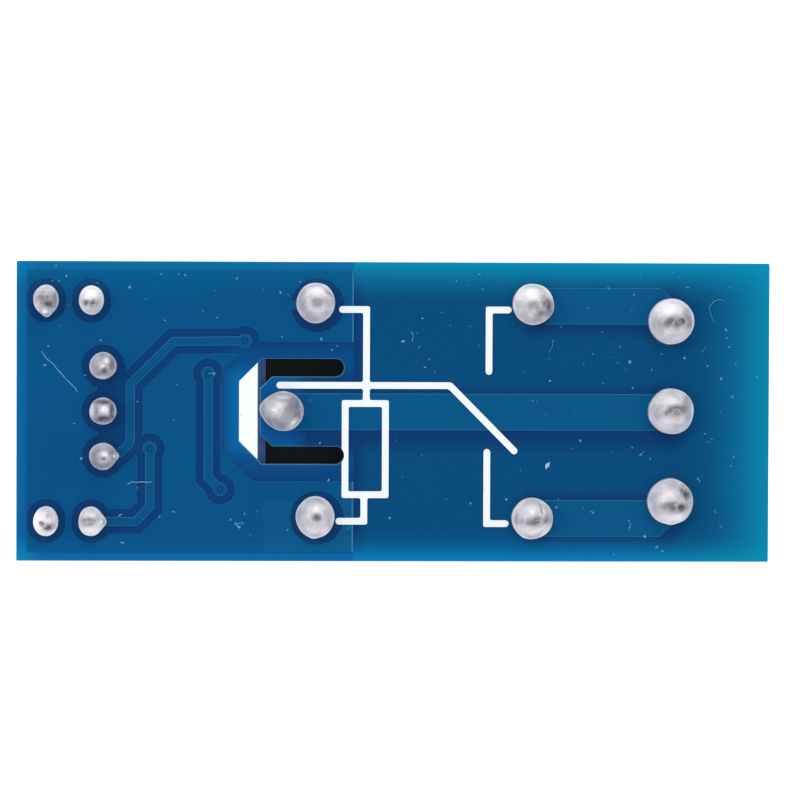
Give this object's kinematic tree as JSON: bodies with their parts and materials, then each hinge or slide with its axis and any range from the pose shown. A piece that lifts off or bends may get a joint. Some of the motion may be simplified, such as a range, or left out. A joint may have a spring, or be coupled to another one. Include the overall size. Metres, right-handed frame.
{
  "type": "relay module board",
  "caption": "Relay module board lying on its relay with the solder side up, with screw terminals, a pin header and corner lamps below.",
  "frame": {"origin": "under the middle of the board's outline, on the surface that the relay's flat top rests on", "axes": "+X from the pin header to the screw terminals, +Y across the board, +Z out of the solder side"},
  "size_m": [0.0426, 0.0168, 0.0183],
  "materials": {
    "masked_laminate": "glass-fibre laminate under blue solder mask",
    "masked_copper": "copper foil under blue solder mask",
    "legend_ink": "white printed ink",
    "relay_plastic": "moulded blue case",
    "black_plastic": "moulded black plastic",
    "enamelled_copper": "enamelled copper wire, wound",
    "soft_iron": "plated soft iron",
    "spring_bronze": "rolled bronze strip",
    "contact_silver": "silver contact",
    "plated_steel": "zinc-plated steel",
    "tinned_brass": "tinned brass strip",
    "tinned_steel": "tinned steel wire",
    "terminal_plastic": "moulded blue polyamide",
    "red_resin": "tinted epoxy resin",
    "green_resin": "tinted epoxy resin",
    "chip_ceramic": "coated alumina chip",
    "solder": "bright cooled solder"
  },
  "bodies": {
    "board": {"board_laminate": "masked_laminate", "copper_pour": "masked_copper", "signal_tracks": "masked_copper", "contact_tracks": "masked_copper", "component_side_tracks": "masked_copper", "solder_side_legend": "legend_ink", "component_side_legend": "legend_ink", "relay_case": "relay_plastic", "relay_base": "black_plastic", "relay_bobbin": "black_plastic", "relay_winding": "enamelled_copper", "relay_core": "soft_iron", "relay_yoke": "soft_iron", "yoke_rivets": "plated_steel", "common_strip": "tinned_brass", "open_contact_strip": "tinned_brass", "open_contact": "contact_silver", "closed_contact_strip": "tinned_brass", "closed_contact": "contact_silver", "coil_pins": "tinned_brass", "terminal_housing": "terminal_plastic", "terminal_strips": "tinned_brass", "header_body": "black_plastic", "header_pins": "tinned_brass", "power_led": "red_resin", "power_led_leads": "tinned_steel", "status_led": "green_resin", "status_led_leads": "tinned_steel", "transistor_body": "black_plastic", "transistor_leads": "tinned_steel", "diode_body": "black_plastic", "diode_terminals": "tinned_steel", "chip_resistors": "chip_ceramic", "chip_end_caps": "tinned_steel", "terminal_solder": "solder", "contact_solder": "solder", "coil_solder": "solder", "header_solder": "solder", "led_solder": "solder", "common_solder": "solder"},
    "armature": {"relay_armature": "soft_iron", "relay_spring": "spring_bronze", "armature_rivets": "plated_steel", "moving_contact": "contact_silver"},
    "screw_1": {"clamp_screw_1": "plated_steel"},
    "cage_1": {"clamp_cage_1": "plated_steel"},
    "screw_2": {"clamp_screw_2": "plated_steel"},
    "cage_2": {"clamp_cage_2": "plated_steel"},
    "screw_3": {"clamp_screw_3": "plated_steel"},
    "cage_3": {"clamp_cage_3": "plated_steel"}
  },
  "joints": [
    {"name": "armature_pull_in", "type": "hinge", "parent": "board", "child": "armature", "pos_m": [-0.00611, 0, 0.0043], "axis": [0, -1, 0], "range_deg": [0, 1.84], "stiffness_Nm_per_rad": 0.002, "springref_deg": -28.65},
    {"name": "screw_1_turn", "type": "hinge", "parent": "board", "child": "screw_1", "pos_m": [0.01565, -0.00508, 0.008], "axis": [0, 0, 1], "range_deg": [0, 1584]},
    {"name": "cage_1_rise", "type": "slide", "parent": "board", "child": "cage_1", "axis": [0, 0, -1], "range_m": [0, 0.0022]},
    {"name": "screw_2_turn", "type": "hinge", "parent": "board", "child": "screw_2", "pos_m": [0.01565, 0, 0.008], "axis": [0, 0, 1], "range_deg": [0, 1584]},
    {"name": "cage_2_rise", "type": "slide", "parent": "board", "child": "cage_2", "axis": [0, 0, -1], "range_m": [0, 0.0022]},
    {"name": "screw_3_turn", "type": "hinge", "parent": "board", "child": "screw_3", "pos_m": [0.01565, 0.00508, 0.008], "axis": [0, 0, 1], "range_deg": [0, 1584]},
    {"name": "cage_3_rise", "type": "slide", "parent": "board", "child": "cage_3", "axis": [0, 0, -1], "range_m": [0, 0.0022]}
  ],
  "couplings": [
    {"joint": "screw_1_turn", "follows": "cage_1_rise", "rad_per_m": 12566},
    {"joint": "screw_2_turn", "follows": "cage_2_rise", "rad_per_m": 12566},
    {"joint": "screw_3_turn", "follows": "cage_3_rise", "rad_per_m": 12566}
  ]
}
